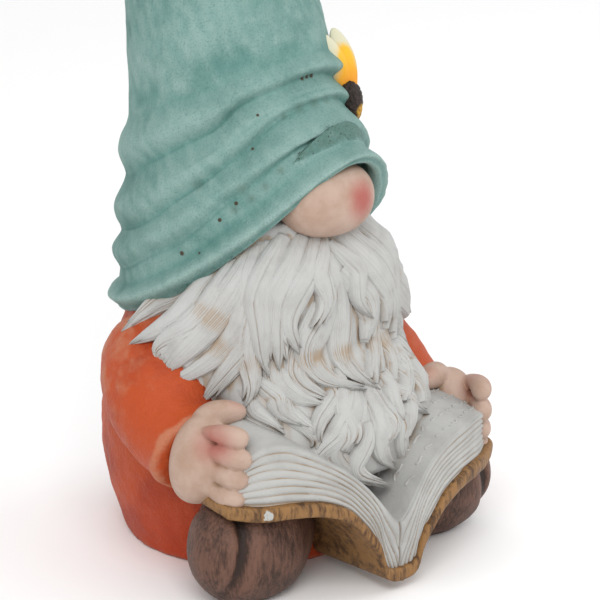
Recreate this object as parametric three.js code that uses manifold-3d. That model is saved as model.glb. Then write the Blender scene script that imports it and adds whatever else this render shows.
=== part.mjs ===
// Garden gnome statue: one hollow casting, painted after it was cast. A seated gnome with a draped
// hat over its eyes holds an open book on its boots, and its beard flows down into the book.
// Millimetres, +Z up. The gnome faces -Y and its left hand is on the +X side. The origin is the
// middle of the flat underside.
import * as THREE from 'three';
import { mergeVertices } from 'three/addons/utils/BufferGeometryUtils.js';
import Module from 'manifold-3d';

const wasm = await Module();
wasm.setup();

// Driving dimensions. Heights are above the ground, and bearings are in degrees from the front,
// positive towards the gnome's left.
const coat = {
  height: 128,
  radius: 64.5,
};
const hat = {
  top: 380,
  brimRadius: 56.5,
  brimBack: 101,
  brimFront: 163,
  brimBearing: 8,
  peak: 15,
  peakSpread: 28,
  visor: 17,
  visorSpread: 32,
  rollDepth: 4.6,
  foldDepth: 3.9,
  foldHollow: 0.35,
  lipWidth: 6,
  recess: 16,
  lean: 34,
};
const nose = { width: 44, depth: 35, height: 32, reach: 66.5, middle: 158.5, side: 2 };
const beard = {
  top: 150,
  bottom: 46,
  radius: 62.5,
  tuckedRadius: 50,
  flare: 20,
  flareHeight: 98,
  lockThickness: 4.8,
  lockRoot: 2.2,
  massLift: 1.2,
};
const book = {
  halfWidth: 71.5,
  front: 100.5,
  sweep: 26,
  depth: 45,
  spineFall: 3,
  wingRise: 6,
  leftWingRise: 9,
  gutterHeight: 30,
  crestHeight: 72,
  leftCrestHeight: 60.5,
  spineHeight: 7.5,
  wingHeight: 45,
  leftWingHeight: 39.5,
  cover: 3.2,
  coverMargin: 2.5,
  coverSeat: 2.4,
  spineGap: 1.4,
  pageLayers: 5,
  pageGroove: 1.1,
};
const sleeve = { shoulderRadius: 27, elbowRadius: 25, cuffRadius: 18, roll: 1, leftDrop: 15 };
const hand = {
  palmLength: 17,
  palmHeight: 19,
  palmThickness: 11.5,
  finger: 4.6,
  fingerLength: 21,
  fingerLift: 3.5,
  thumb: 6.6,
  leftDrop: 10,
};
const boot = {
  length: 70,
  width: 48,
  height: 52,
  outward: 46,
  forward: 60,
  leftOutward: 50.5,
  leftForward: 52,
  crease: 3.4,
  creasePlace: 0.56,
};
const insect = {
  bearing: 46,
  height: 191,
  bodyLength: 20,
  bodyRadius: 5.2,
  wingLength: 32,
  wingWidth: 12,
  wingThickness: 4.5,
  wingSpread: 3.5,
};

const rad = THREE.MathUtils.degToRad;
const lerp = THREE.MathUtils.lerp;
const smooth = THREE.MathUtils.smoothstep;
const vector = (x, y, z) => new THREE.Vector3(x, y, z);

// A smooth curve of one value through stations.
function curveOf(stations, values) {
  const interpolant = new THREE.CubicInterpolant(stations, values, 1);
  return (station) => interpolant.evaluate(station)[0];
}

// A closed geometry as a solid that can be joined.
function solid(geometry) {
  geometry.deleteAttribute('normal');
  geometry.deleteAttribute('uv');
  const merged = mergeVertices(geometry, 1e-4);
  return new wasm.Manifold(new wasm.Mesh({
    numProp: 3,
    vertProperties: new Float32Array(merged.attributes.position.array),
    triVerts: new Uint32Array(merged.index.array),
  }));
}

// A closed form on a sphere's grid. place gives the point at a bearing in radians and a row, with
// row 0 at the top. The first and last rows each meet in one point.
function form(around, rows, place) {
  const geometry = new THREE.SphereGeometry(1, around, rows);
  const { position, uv } = geometry.attributes;
  for (let i = 0; i < position.count; i += 1) {
    const row = Math.round((1 - uv.getY(i)) * rows);
    const bearing = (uv.getX(i) - 0.25) * 2 * Math.PI;
    const point = place(bearing, row);
    position.setXYZ(i, point.x, point.y, point.z);
  }
  return solid(geometry);
}

// A rounded, flattened sweep through points, with its broad side turned to outward(point).
// size gives the half width and half thickness at a share of the length, and root is how much
// thicker the inner side is.
function sweep(points, around, along, outward, size, root = 1) {
  const curve = new THREE.CatmullRomCurve3(points);
  return form(around, along, (bearing, row) => {
    const share = (1 - Math.cos((Math.PI * row) / along)) / 2;
    const centre = curve.getPoint(share);
    const tangent = curve.getTangent(share);
    const out = outward(centre);
    out.addScaledVector(tangent, -out.dot(tangent)).normalize();
    const side = out.clone().cross(tangent);
    const [width, thickness] = size(share);
    const round = row === 0 || row === along ? 0 : 1;
    const depth = Math.cos(bearing) < 0 ? thickness * root : thickness;
    return centre
      .addScaledVector(side, round * width * Math.sin(bearing))
      .addScaledVector(out, round * depth * Math.cos(bearing));
  });
}

// An ellipsoid, a little squarer than a true one.
function pebble(middle, half, around, rows, squareness = 0.9) {
  const squared = (value) => Math.sign(value) * Math.abs(value) ** squareness;
  return form(around, rows, (bearing, row) => {
    const angle = (Math.PI * row) / rows;
    const ring = row === 0 || row === rows ? 0 : Math.sin(angle) ** squareness;
    return vector(
      middle.x + half.x * ring * squared(Math.sin(bearing)),
      middle.y - half.y * ring * squared(Math.cos(bearing)),
      middle.z + half.z * squared(Math.cos(angle)),
    );
  });
}

// Both sides of the gnome: -1 is its right side and 1 its left.
const sides = [-1, 1];

// The coat's round body, wider low down and drawn in under the hat.
function makeBody() {
  const shape = curveOf(
    [-0.05, 0.04, 0.13, 0.22, 0.36, 0.5, 0.62, 0.73, 0.85, 1],
    [0.8, 0.86, 0.92, 0.97, 1, 0.98, 0.93, 0.85, 0.77, 0.68],
  );
  const rows = 13;
  return form(26, rows, (bearing, row) => {
    const share = lerp(1, -0.05, THREE.MathUtils.clamp((row - 1) / (rows - 2), 0, 1));
    const radius = row === 0 || row === rows ? 0 : coat.radius * shape(share);
    return vector(radius * Math.sin(bearing), -radius * Math.cos(bearing), coat.height * share);
  });
}

// The head inside the hat, hidden but for what shows under the brim.
function makeHead() {
  const half = coat.radius * 0.76;
  return pebble(vector(0, 2, coat.height + 8), vector(half, half, half * 0.9), 16, 9, 1);
}

// How far the brim has climbed at a bearing: 0 at the back and 1 at the front.
function climb(bearing) {
  return (1 + Math.cos(bearing - rad(hat.brimBearing))) / 2;
}

// A swelling over the nose, from 0 to 1, that fades within a spread in degrees to both sides.
function overNose(bearing, spread) {
  const apart = Math.acos(Math.cos(bearing - rad(hat.brimBearing)));
  return Math.exp(-((apart / rad(spread)) ** 2));
}

// The folds' lines: heights above the brim's edge at the back and at the front, and how steeply
// they climb between them.
const foldLines = [
  { back: 0, front: 0, steep: 2.2 },
  { back: 15, front: 20, steep: 1.7 },
  { back: 31, front: 34, steep: 1.7 },
  { back: 55, front: 43, steep: 1.4 },
  { back: 79, front: 53, steep: 1.1 },
];

// The height of a fold's line, or of a place between two of them. The lowest ones peak. Above
// the last line the cone is smooth.
function foldHeight(line, bearing) {
  const low = Math.floor(line);
  const high = Math.min(low + 1, foldLines.length - 1);
  const at = ({ back, front, steep }) => (
    lerp(hat.brimBack + back, hat.brimFront + front, climb(bearing) ** steep));
  const peak = hat.peak * overNose(bearing, hat.peakSpread) * Math.max(0, 1 - 0.75 * line);
  return lerp(at(foldLines[low]), at(foldLines[high]), line - low) + peak;
}

const hatTaper = curveOf(
  [0, 0.16, 0.24, 0.32, 0.4, 0.5, 0.62, 0.74, 0.84, 0.92, 0.975, 1],
  [1, 0.965, 0.9, 0.81, 0.765, 0.7, 0.6, 0.47, 0.345, 0.225, 0.1, 0],
);
const hatAxis = curveOf([0, 0.18, 0.3, 0.46, 0.62, 0.8, 1], [0.03, -0.03, 0.13, 0.45, 0.76, 0.95, 1]);

function hatShare(height) {
  return (height - hat.brimBack) / (hat.top - hat.brimBack);
}

// The hat: a tall cone that leans back, with a rolled brim and slanting folds pulled down over it.
function makeHat() {
  const rowsInFold = 4;
  const folds = foldLines.length - 1;
  const coneRows = 8;
  const foldRows = folds * rowsInFold;
  const rows = coneRows + foldRows + 3;
  return form(42, rows, (bearing, row) => {
    let height;
    let radius;
    const foldRow = coneRows + foldRows - row;
    const brim = foldHeight(0, bearing);
    const visor = hat.visor * overNose(bearing, hat.visorSpread);
    if (row < coneRows) {
      const share = (row / coneRows) ** 1.35;
      height = lerp(hat.top, foldHeight(folds, bearing), share);
      radius = row === 0 ? 0 : hat.brimRadius * hatTaper(hatShare(height));
    } else if (foldRow >= 0) {
      const line = foldRow / rowsInFold;
      const share = line - Math.floor(line);
      height = foldHeight(line, bearing);
      const depth = line < 1 ? hat.rollDepth : hat.foldDepth;
      const hollow = hat.foldHollow * Math.min(1, folds - line);
      radius = hat.brimRadius * hatTaper(hatShare(height));
      radius += depth * (Math.sin(Math.PI * share ** 0.8) - hollow);
      radius += visor * Math.max(0, 1 - line / 2.5);
    } else {
      const inner = -foldRow;
      height = brim + [0, 0.5, hat.recess, hat.recess][inner] * climb(bearing) ** 2.2;
      radius = hat.brimRadius * hatTaper(hatShare(brim)) + visor - hat.lipWidth * [0, 0.7, 1, 1][inner];
    }
    if (row === rows) {
      height = hat.brimFront;
      radius = 0;
    }
    const lean = hat.lean * hatAxis(hatShare(height));
    return vector(radius * Math.sin(bearing), lean - radius * Math.cos(bearing), height);
  });
}

// The point on the beard's rounded front at a bearing and height, lifted off it by some distance.
function beardPoint(bearing, height, lift = 0) {
  const share = (height - beard.bottom) / (beard.top - beard.bottom);
  const turn = Math.abs(bearing);
  const top = 1 - 0.2 * smooth(share, 0.76, 1);
  const spread = smooth(turn, rad(34), rad(54));
  const flare = beard.flare * (1 - smooth(height, 62, beard.flareHeight)) * (1 - spread);
  const full = beard.radius * top + flare;
  const belowBrim = foldHeight(0, bearing) - height;
  const radius = lerp(Math.min(full, beard.tuckedRadius), full, smooth(belowBrim, -4, 15)) + lift;
  return vector(radius * Math.sin(bearing), -radius * Math.cos(bearing), height);
}

// The beard's mass: a bib that bulges over the book.
function makeBeardMass() {
  const rows = 10;
  return form(30, rows, (bearing, row) => {
    const turned = bearing > Math.PI ? bearing - 2 * Math.PI : bearing;
    const share = THREE.MathUtils.clamp((row - 1) / (rows - 2), 0, 1);
    const height = lerp(beard.top, beard.bottom, share);
    const point = beardPoint(turned, height, beard.massLift);
    const scale = row === 0 || row === rows ? 0 : 1;
    const side = smooth(Math.abs(turned), rad(40), rad(60));
    const behind = smooth(Math.abs(turned), rad(66), rad(96));
    const tuck = (1 - 0.3 * side * (1 - smooth(height, 66, 84))) * (1 - 0.4 * behind);
    return vector(point.x * scale * tuck, point.y * scale * tuck, height);
  });
}

// The beard's locks in fans. Each fan runs from a first to a last lock, given as the bearing and
// height of its root and tip on the gnome's left side.
const lockFans = [
  { count: 2, roots: [[3, 143], [8, 144]], tips: [[22, 101], [37, 92]], width: 10, bow: 5 },
  { count: 4, roots: [[62, 126], [29, 144]], tips: [[92, 103], [42, 80]], width: 9, bow: 3 },
  { count: 3, roots: [[26, 122], [8, 118]], tips: [[45, 74], [24, 66]], width: 9, bow: -5 },
  { count: 3, roots: [[0, 126], [14, 100]], tips: [[8, 84], [28, 64]], width: 9.5, bow: 5 },
  { count: 2, roots: [[22, 88], [4, 88]], tips: [[35, 66], [10, 56]], width: 8, bow: -4 },
];

function makeLock([rootBearing, rootHeight], [tipBearing, tipHeight], width, bow, side) {
  const points = [0, 0.33, 0.66, 1].map((share) => {
    const bearing = lerp(rootBearing, tipBearing, share) + bow * Math.sin(2 * Math.PI * share);
    const height = lerp(rootHeight, tipHeight, share);
    return beardPoint(side * rad(bearing), height, beard.lockThickness * (0.1 + 0.5 * share));
  });
  const outward = (point) => vector(point.x, point.y, 0).normalize();
  return sweep(points, 5, 5, outward, (share) => {
    const taper = Math.sin(Math.PI * share ** 0.75) ** 0.6;
    return [width * taper, beard.lockThickness * taper];
  }, beard.lockRoot);
}

function makeLocks() {
  const locks = sides.flatMap((side) => lockFans.flatMap(({ count, roots, tips, width, bow }) => (
    Array.from({ length: count }, (_, i) => {
      const share = i / (count - 1);
      const between = ([a, b]) => [lerp(a[0], b[0], share), lerp(a[1], b[1], share)];
      return makeLock(between(roots), between(tips), width, bow, side);
    }))));
  const lastLock = [[0, 96, 1], [-3, 70, 0], [0, 52, -4], [1, 38, 2]].map(([bearing, height, lift]) => (
    beardPoint(rad(bearing), height, lift)));
  locks.push(sweep(lastLock, 8, 8, () => vector(0, -1, 0.4), (share) => {
    const taper = Math.sin(Math.PI * share ** 0.6) ** 0.6;
    return [11 * taper, 6 * taper];
  }));
  return locks;
}

// The open book. Its section at a share from the spine, 0, to the fore edge, 1. The left page
// lies lower.
const pageTops = {
  '-1': curveOf([0, 0.05, 0.25, 0.47, 0.69, 0.82, 0.92, 1], [0, 0.06, 0.47, 0.79, 1, 1, 0.88, 0.7]),
  1: curveOf([0, 0.05, 0.25, 0.47, 0.69, 0.82, 0.92, 1], [0, 0.09, 0.7, 0.95, 1, 0.96, 0.86, 0.52]),
};
const pageFoot = curveOf(
  [0, 0.11, 0.16, 0.26, 0.36, 0.51, 0.66, 0.85, 1],
  [0, 0.08, 0.36, 0.63, 0.84, 0.97, 1, 0.98, 1.02],
);

function bookFront(share) {
  return -book.front + book.sweep * share ** 2.6;
}

// A box bent into the book's open shape. low and high give the section's heights.
function makeBookLayer(columns, layers, margin, low, high, groove) {
  const geometry = new THREE.BoxGeometry(2, 1, 1, columns, 2, layers);
  const { position } = geometry.attributes;
  for (let i = 0; i < position.count; i += 1) {
    const across = position.getX(i);
    const back = position.getY(i) + 0.5;
    const up = position.getZ(i) + 0.5;
    const share = Math.abs(across);
    const side = across > 0 ? 1 : -1;
    const rise = lerp(-book.spineFall, side > 0 ? book.leftWingRise : book.wingRise, smooth(share, 0, 0.5));
    const inset = Math.round(up * layers) % 2 === 1 ? groove : 0;
    const half = book.halfWidth + margin - (share === 1 ? inset : 0);
    const front = bookFront(share) - margin + (back === 0 ? inset : 0);
    position.setXYZ(
      i,
      across * half,
      lerp(front, bookFront(1) + book.depth, back),
      lerp(low(share, side), high(share, side), up) + rise * back,
    );
  }
  return solid(geometry);
}

function makeBook() {
  const foot = (share, side) => (
    lerp(book.spineHeight, side > 0 ? book.leftWingHeight : book.wingHeight, pageFoot(share)));
  const top = (share, side) => (
    lerp(book.gutterHeight, side > 0 ? book.leftCrestHeight : book.crestHeight, pageTops[side](share)));
  const coverTop = (share, side) => foot(share, side) + book.coverSeat;
  const coverFoot = (share, side) => Math.max(book.spineGap, foot(share, side) - book.cover);
  return [
    makeBookLayer(18, book.pageLayers * 2, 0, foot, top, book.pageGroove),
    makeBookLayer(18, 1, book.coverMargin, coverFoot, coverTop, 0),
  ];
}

// A sleeve from the shoulder to a cuff at the book's side. The left one hangs lower.
function makeSleeve(side) {
  const points = [vector(38, 6, 92), vector(54, -10, 80), vector(63, -28, 67), vector(67, -47, 60)];
  points.forEach((point, i) => {
    point.x *= side;
    point.z -= side > 0 ? sleeve.leftDrop * lerp(0.75, 1, i / 3) : 0;
  });
  const radius = curveOf(
    [0, 0.12, 0.45, 0.75, 0.9, 0.95, 1],
    [sleeve.shoulderRadius * 0.6, sleeve.shoulderRadius * 0.94, sleeve.elbowRadius, sleeve.cuffRadius + 1,
      sleeve.cuffRadius, sleeve.cuffRadius + sleeve.roll, sleeve.cuffRadius - sleeve.roll],
  );
  return sweep(points, 14, 11, () => vector(0, 0, 1), (share) => [radius(share), radius(share)]);
}

// A hand on the book's outer front corner: the palm beside it, four fingers round the front, and
// the thumb on the page.
function makeHand(side) {
  const palm = vector(book.halfWidth - 4, bookFront(1) + 15, lerp(book.wingHeight, book.crestHeight, 0.6));
  palm.z -= side > 0 ? hand.leftDrop : 0;
  const along = vector(-0.46, -0.88, -0.09).normalize();
  const out = vector(0.88, -0.46, 0).normalize();
  const at = (forward, sideways, up) => {
    const point = palm.clone().addScaledVector(along, forward).addScaledVector(out, sideways);
    point.z += up;
    point.x *= side;
    return point;
  };
  const outward = () => vector(out.x * side, out.y, 0.15);
  const pieces = [sweep(
    [at(-hand.palmLength, -2, 0), at(-5, 0, 0), at(hand.palmLength * 0.7, 0, 0)],
    10, 7, outward,
    (share) => {
      const round = Math.sin(Math.PI * share ** 0.9) ** 0.5;
      return [hand.palmHeight * round, hand.palmThickness * round];
    },
  )];
  const fingers = 4;
  for (let i = 0; i < fingers; i += 1) {
    const spread = (hand.palmHeight - hand.finger) * 0.92;
    const up = lerp(spread, -spread, i / (fingers - 1)) + hand.fingerLift;
    const length = hand.fingerLength - 1.5 * Math.abs(i - 1);
    pieces.push(sweep(
      [at(-4, 3, up * 0.85), at(length * 0.5, 6.5, up), at(length, 5, up - 1)],
      6, 5, outward,
      (share) => {
        const round = Math.sin(Math.PI * share ** 1.3) ** 0.4;
        return [hand.finger * round, hand.finger * round];
      },
    ));
  }
  pieces.push(sweep(
    [at(-12, -4, 10), at(-3, -8, 17), at(8, -18, 18)],
    8, 7, () => vector(0, 0, 1),
    (share) => {
      const round = Math.sin(Math.PI * share ** 1.2) ** 0.45;
      return [hand.thumb * round, hand.thumb * round];
    },
  ));
  return pieces;
}

// A rounded boot lying on its side, toe outwards, with a crease behind the toe.
function makeBoot(side) {
  const rows = 11;
  const outward = side > 0 ? boot.leftOutward : boot.outward;
  const forward = side > 0 ? boot.leftForward : boot.forward;
  const middle = vector(side * outward, -forward, boot.height / 2 - 3);
  return form(22, rows, (bearing, row) => {
    const angle = (Math.PI * row) / rows;
    const ring = row === 0 || row === rows ? 0 : Math.sin(angle) ** 0.85;
    const across = ring * Math.sin(bearing);
    const crease = (side * across - boot.creasePlace) / 0.13;
    const pinch = 1 - (boot.crease / boot.height) * 2 * Math.exp(-crease * crease);
    const turn = 6 * side * across;
    return vector(
      middle.x + (boot.length / 2) * across,
      middle.y - turn - (boot.width / 2) * ring * Math.cos(bearing) * pinch,
      middle.z + (boot.height / 2) * Math.cos(angle) * (row > rows / 2 ? 1 : pinch),
    );
  });
}

// The insect on the hat, head down, with two wings folded up.
function makeInsect() {
  const bearing = rad(insect.bearing);
  const share = hatShare(insect.height);
  const radius = hat.brimRadius * hatTaper(share);
  const lean = hat.lean * hatAxis(share);
  const at = (out, sideways, up) => {
    const turn = bearing + sideways / radius;
    const back = hat.lean * hatAxis(hatShare(insect.height + up)) - lean;
    const reach = hat.brimRadius * hatTaper(hatShare(insect.height + up)) + out;
    return vector(reach * Math.sin(turn), lean + back - reach * Math.cos(turn), insect.height + up);
  };
  const outward = () => vector(Math.sin(bearing), -Math.cos(bearing), 0);
  const oval = (half, power) => (along) => half * Math.sin(Math.PI * along ** power) ** 0.6;
  const body = oval(insect.bodyRadius, 1.1);
  const wingWidth = oval(insect.wingWidth / 2, 0.85);
  const wingDepth = oval(insect.wingThickness / 2, 0.85);
  const abdomen = sweep(
    [at(5, 0, insect.bodyLength * 0.35), at(6, 0, 0), at(3, 0, -insect.bodyLength * 0.5)],
    9, 7, outward,
    (along) => [body(along), body(along)],
  );
  const wings = sides.map((side) => sweep(
    [0, 0.4, 0.8].map((share) => (
      at(5 - 3 * share, side * (1 + insect.wingSpread * 2 * share), 3 + insect.wingLength * share))),
    8, 7, outward,
    (along) => [wingWidth(along), wingDepth(along)],
  ));
  return [abdomen, ...wings];
}

// Everything is cast as one, and the ground cuts the underside flat.
function castAsOne(pieces) {
  const reach = 2 * hat.top;
  const aboveGround = new THREE.BoxGeometry(reach, reach, reach);
  aboveGround.translate(0, 0, reach / 2);
  const joined = pieces.reduce((whole, piece) => whole.add(piece));
  return joined.intersect(solid(aboveGround));
}

const pieces = [
  makeBody(),
  makeHat(),
  pebble(
    vector(nose.side, nose.depth / 2 - nose.reach, nose.middle),
    vector(nose.width / 2, nose.depth / 2, nose.height / 2), 18, 10,
  ),
  makeBeardMass(),
  ...makeLocks(),
  makeHead(),
  ...makeBook(),
  ...sides.map(makeSleeve),
  ...sides.flatMap(makeHand),
  ...sides.map(makeBoot),
  ...makeInsect(),
];

const cast = castAsOne(pieces).getMesh();
const geometry = new THREE.BufferGeometry();
geometry.setAttribute('position', new THREE.BufferAttribute(cast.vertProperties, 3));
geometry.setIndex(new THREE.BufferAttribute(cast.triVerts, 1));
geometry.computeVertexNormals();

const paint = new THREE.MeshStandardMaterial({ color: 0x86b5a8, roughness: 0.62, metalness: 0 });
const gnome = new THREE.Mesh(geometry, paint);
gnome.name = 'garden_gnome';

const statue = new THREE.Group();
statue.add(gnome);

export default statue;
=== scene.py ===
import math
from random import Random

import bmesh
import bpy
import numpy as np
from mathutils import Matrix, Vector, noise
from mathutils.bvhtree import BVHTree


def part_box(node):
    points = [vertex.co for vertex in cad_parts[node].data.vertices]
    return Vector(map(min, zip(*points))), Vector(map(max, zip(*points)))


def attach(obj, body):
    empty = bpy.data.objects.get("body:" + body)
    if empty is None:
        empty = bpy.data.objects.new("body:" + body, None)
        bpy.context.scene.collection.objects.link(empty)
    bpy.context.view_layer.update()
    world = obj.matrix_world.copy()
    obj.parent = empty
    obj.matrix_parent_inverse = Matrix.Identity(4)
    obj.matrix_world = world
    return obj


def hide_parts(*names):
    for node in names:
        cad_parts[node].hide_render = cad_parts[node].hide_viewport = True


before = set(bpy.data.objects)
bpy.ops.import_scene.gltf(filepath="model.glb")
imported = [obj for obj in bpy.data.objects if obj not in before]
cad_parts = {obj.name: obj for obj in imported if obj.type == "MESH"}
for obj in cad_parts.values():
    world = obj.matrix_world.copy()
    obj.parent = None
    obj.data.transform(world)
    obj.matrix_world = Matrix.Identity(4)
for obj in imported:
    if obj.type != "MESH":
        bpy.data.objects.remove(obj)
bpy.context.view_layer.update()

# The statue and the camera. The gnome faces -Y, its left hand is on the +X side, and it stands on
# the ground at Z 0. The camera looks from the gnome's front right and a little above, with the
# hat running out of the top of the picture.
STATUE = "garden_gnome"
MM = 0.001
camera_azimuth = math.radians(-40)
camera_rise = math.radians(18)
camera_distance = 1.5
picture_width = 0.258
look_at = Vector((0.0175, -0.0146, 0.102))

camera = bpy.data.objects.new("camera", bpy.data.cameras.new("camera"))
away = Vector((
    math.sin(camera_azimuth) * math.cos(camera_rise),
    -math.cos(camera_azimuth) * math.cos(camera_rise),
    math.sin(camera_rise),
))
camera.location = look_at + away * camera_distance
camera.rotation_euler = away.to_track_quat("Z", "Y").to_euler()
camera.data.sensor_width = 36
camera.data.lens = camera.data.sensor_width * camera_distance / picture_width
bpy.context.collection.objects.link(camera)
bpy.context.scene.camera = camera


# The hat: a tall cone that leans back, cast with a rolled brim and slanting folds where it is
# pulled down over the eyes. Its blue-green paint is worn pale on the ridges, and a brown wash lies
# in the casting's pinholes. The creases are darkened as painted shade, in deep teal, and with an
# olive that stands for both moss and shade.
hat_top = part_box(STATUE)[1].z / MM
hat_brim_radius = 56.5
hat_brim_back = 101
hat_brim_front = 163
hat_brim_bearing = math.radians(8)
hat_peak = 12.5
hat_peak_spread = math.radians(28)
hat_visor = 17
hat_visor_spread = math.radians(32)
hat_roll_depth = 4.6
hat_fold_depth = 3.9
hat_valley = 0.42
hat_lip = 6
hat_recess = 15
hat_lean = 34
hat_teal = (0.162, 0.330, 0.300)
hat_deep_teal = (0.065, 0.190, 0.165)
hat_pale = (0.330, 0.475, 0.435)
hat_moss_and_shade = (0.075, 0.095, 0.050)
brown_wash_and_shade = (0.060, 0.040, 0.022)


def smooth(low_edge, high_edge, value):
    share = min(max((value - low_edge) / (high_edge - low_edge), 0), 1)
    return share * share * (3 - 2 * share)


def lerp(start, end, share):
    return start + (end - start) * share


def curve_of(stations, values):
    """A smooth curve of one value through stations, as a function."""
    last = len(values) - 1
    slopes = [
        (values[min(i + 1, last)] - values[max(i - 1, 0)])
        / (stations[min(i + 1, last)] - stations[max(i - 1, 0)])
        for i in range(last + 1)
    ]

    def value_at(station):
        i = 0
        while i < last - 1 and station > stations[i + 1]:
            i += 1
        gap = stations[i + 1] - stations[i]
        t = min(max((station - stations[i]) / gap, 0), 1)
        rise = values[i + 1] - values[i]
        start = slopes[i] * gap - rise
        end = rise - slopes[i + 1] * gap
        return lerp(values[i], values[i + 1], t) + t * (1 - t) * (start * (1 - t) + end * t)

    return value_at


balls = {}


def add_form(mesh, around, rows, place):
    """A closed form from a sphere's grid. place gives the point, in millimetres, at a bearing
    from the front and a row, with row 0 at the top and each end row in one point."""
    if (around, rows) not in balls:
        ball = bmesh.new()
        bmesh.ops.create_uvsphere(ball, u_segments=around, v_segments=rows, radius=1)
        balls[around, rows] = bpy.data.meshes.new("ball")
        ball.to_mesh(balls[around, rows])
        ball.free()
    before = len(mesh.verts)
    mesh.from_mesh(balls[around, rows])
    mesh.verts.ensure_lookup_table()
    for vert in mesh.verts[before:]:
        row = round(math.acos(max(-1, min(1, vert.co.z))) / math.pi * rows)
        vert.co = Vector(place(math.atan2(vert.co.x, -vert.co.y), row)) * MM


def make_piece(name, mesh, material):
    """Finishes one painted area of the casting, which stands for its part of the solid."""
    data = bpy.data.meshes.new(name)
    mesh.to_mesh(data)
    mesh.free()
    data.materials.append(material)
    data.shade_smooth()
    piece = bpy.data.objects.new(name, data)
    bpy.context.collection.objects.link(piece)
    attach(piece, "root")
    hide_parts(STATUE)
    return piece


class Tone:
    """A shader value, with the sums that the paints use."""

    def __init__(self, paint, socket):
        self.paint = paint
        self.socket = socket

    def sum(self, operation, first, second):
        return self.paint.node("Math", {"operation": operation}, {0: first, 1: second})

    def __add__(self, other):
        return self.sum("ADD", self, other)

    __radd__ = __add__

    def __sub__(self, other):
        return self.sum("SUBTRACT", self, other)

    def __rsub__(self, other):
        return self.sum("SUBTRACT", other, self)

    def __mul__(self, other):
        return self.sum("MULTIPLY", self, other)

    __rmul__ = __mul__

    def ramp(self, start, end):
        """0 at start and 1 at end, with soft ends."""
        settings = {"interpolation_type": "SMOOTHSTEP"}
        return self.paint.node("MapRange", settings, {"Value": self, "From Min": start, "From Max": end})


class Paint:
    """A painted finish on the cast resin, built from nodes."""

    def __init__(self, name):
        self.material = bpy.data.materials.new(name)
        self.material.use_nodes = True
        self.tree = self.material.node_tree
        self.tree.nodes.clear()
        self.shader = self.tree.nodes.new("ShaderNodeBsdfPrincipled")
        self.shader.inputs["Specular IOR Level"].default_value = 0.3
        output = self.tree.nodes.new("ShaderNodeOutputMaterial")
        self.tree.links.new(self.shader.outputs[0], output.inputs[0])
        # Two measures written at the end of the script: how far each point stands out of its surroundings,
        # and how much nearby casting hides it, which sets the wash and the painted shade in the hollows.
        self.relief = self.node("Attribute", {"attribute_name": "relief"}, {}, 2)
        self.shade_and_wash = self.node("Attribute", {"attribute_name": "shade_and_wash"}, {}, 2)

    def node(self, kind, settings, values, output=0):
        node = self.tree.nodes.new("ShaderNode" + kind)
        for setting, value in settings.items():
            setattr(node, setting, value)
        for socket, value in values.items():
            if isinstance(value, Tone):
                self.tree.links.new(value.socket, node.inputs[socket])
            else:
                node.inputs[socket].default_value = value
        return Tone(self, node.outputs[output])

    def place(self, stretch=(1, 1, 1), turn=(0, 0, 0)):
        """Places on the casting in millimetres, stretched or turned."""
        at = self.node("TexCoord", {}, {}, 3)
        scale = tuple(1000 / s for s in stretch)
        return self.node("Mapping", {}, {"Vector": at, "Scale": scale, "Rotation": turn})

    def mottle(self, size, detail=4.0, rough=0.55, at=None):
        """Cloudy variation about size millimetres across."""
        values = {"Vector": at or self.place(), "Scale": 1 / size, "Detail": detail, "Roughness": rough}
        return self.node("TexNoise", {}, values)

    def blend(self, share, start, end):
        start, end = ((*c, 1) if isinstance(c, tuple) else c for c in (start, end))
        settings = {"data_type": "RGBA"}
        return self.node("Mix", settings, {0: share, 6: start, 7: end}, 2)

    def spot(self, centre, radius):
        """1 at a point in millimetres, fading to 0 at a radius."""
        settings = {"operation": "DISTANCE"}
        away_from = self.node("VectorMath", settings, {0: self.place(), 1: centre}, 1)
        return away_from.ramp(radius, 0)

    def finish(self, color, rough, height, depth):
        """Takes the colour, the roughness and a bump of some millimetres' depth."""
        bump = self.node("Bump", {}, {"Height": height, "Distance": depth * MM})
        for socket, value in (("Base Color", color), ("Roughness", rough), ("Normal", bump)):
            self.tree.links.new(value.socket, self.shader.inputs[socket])
        return self.material


# Each fold's lower edge: its height above the brim's edge at the back and at the front, and how
# early it climbs.
hat_fold_lines = [(0, 0, 2.2), (15, 20, 1.7), (31, 34, 1.7), (55, 43, 1.4), (79, 53, 1.1)]
hat_taper = curve_of(
    [0, 0.16, 0.24, 0.32, 0.4, 0.5, 0.62, 0.74, 0.84, 0.92, 0.975, 1],
    [1, 0.965, 0.9, 0.81, 0.765, 0.7, 0.6, 0.47, 0.345, 0.225, 0.1, 0],
)
hat_axis = curve_of([0, 0.18, 0.3, 0.46, 0.62, 0.8, 1], [0.03, -0.03, 0.13, 0.45, 0.76, 0.95, 1])


def hat_share(height):
    return (height - hat_brim_back) / (hat_top - hat_brim_back)


def hat_climb(bearing):
    return (1 + math.cos(bearing - hat_brim_bearing)) / 2


def over_nose(bearing, spread):
    """1 over the nose, fading to both sides."""
    return math.exp(-((bearing - hat_brim_bearing) / spread) ** 2)


def hat_line(line, bearing):
    """The height of a fold line, or of a place between two of them. The lowest ones peak."""
    heights = []
    for back, front, power in hat_fold_lines[int(line):int(line) + 2]:
        share = hat_climb(bearing) ** power
        heights.append(lerp(hat_brim_back + back, hat_brim_front + front, share))
    peak = hat_peak * over_nose(bearing, hat_peak_spread) * max(0, 1 - 0.75 * line)
    return lerp(heights[0], heights[-1], line - int(line)) + peak


cone_rows = 54
fold_rows = 20
lip_rows = 20
folds = len(hat_fold_lines) - 1
hat_rows = cone_rows + folds * fold_rows + lip_rows


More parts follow.
